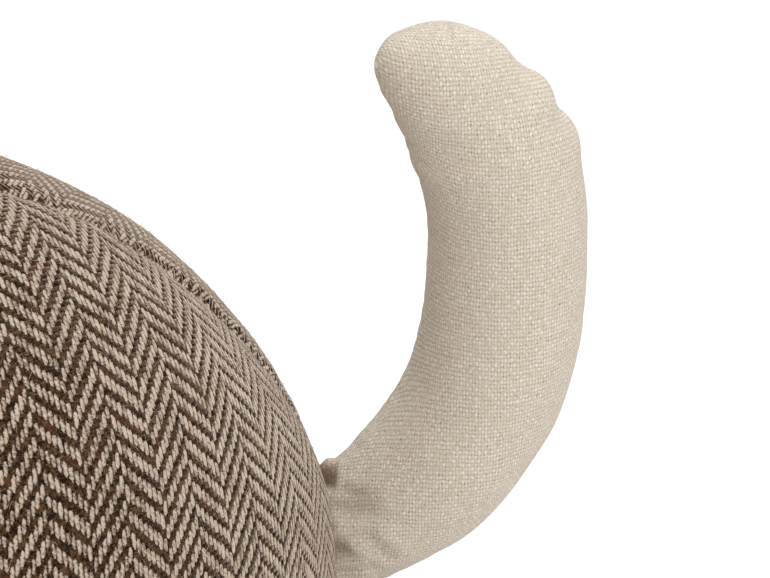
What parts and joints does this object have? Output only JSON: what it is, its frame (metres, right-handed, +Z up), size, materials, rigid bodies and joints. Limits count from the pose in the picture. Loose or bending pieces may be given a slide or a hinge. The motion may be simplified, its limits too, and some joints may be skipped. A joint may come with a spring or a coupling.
{
  "type": "weighted fabric door stop",
  "caption": "Weighted fabric door stop shaped as a plump resting cat: a heavy herringbone body on a flat foot, a linen head and a curved linen tail to lift it by; it holds a door open.",
  "frame": {"origin": "middle of the flat foot, on the floor", "axes": "+Z up, +X from the head towards the tail, Y across the body"},
  "size_m": [0.2692, 0.172, 0.1777],
  "materials": {
    "tweed": "brown and cream herringbone tweed, woolly and matt",
    "linen": "natural plain-weave linen, slubby and matt",
    "bead": "polished dark bead",
    "nose_cloth": "dark brown brushed cloth"
  },
  "bodies": {
    "root": {"weighted_body": "tweed", "tail": "linen", "head": "linen", "left_ear": "linen", "right_ear": "linen", "left_eye": "bead", "right_eye": "bead", "nose": "nose_cloth"}
  },
  "joints": []
}
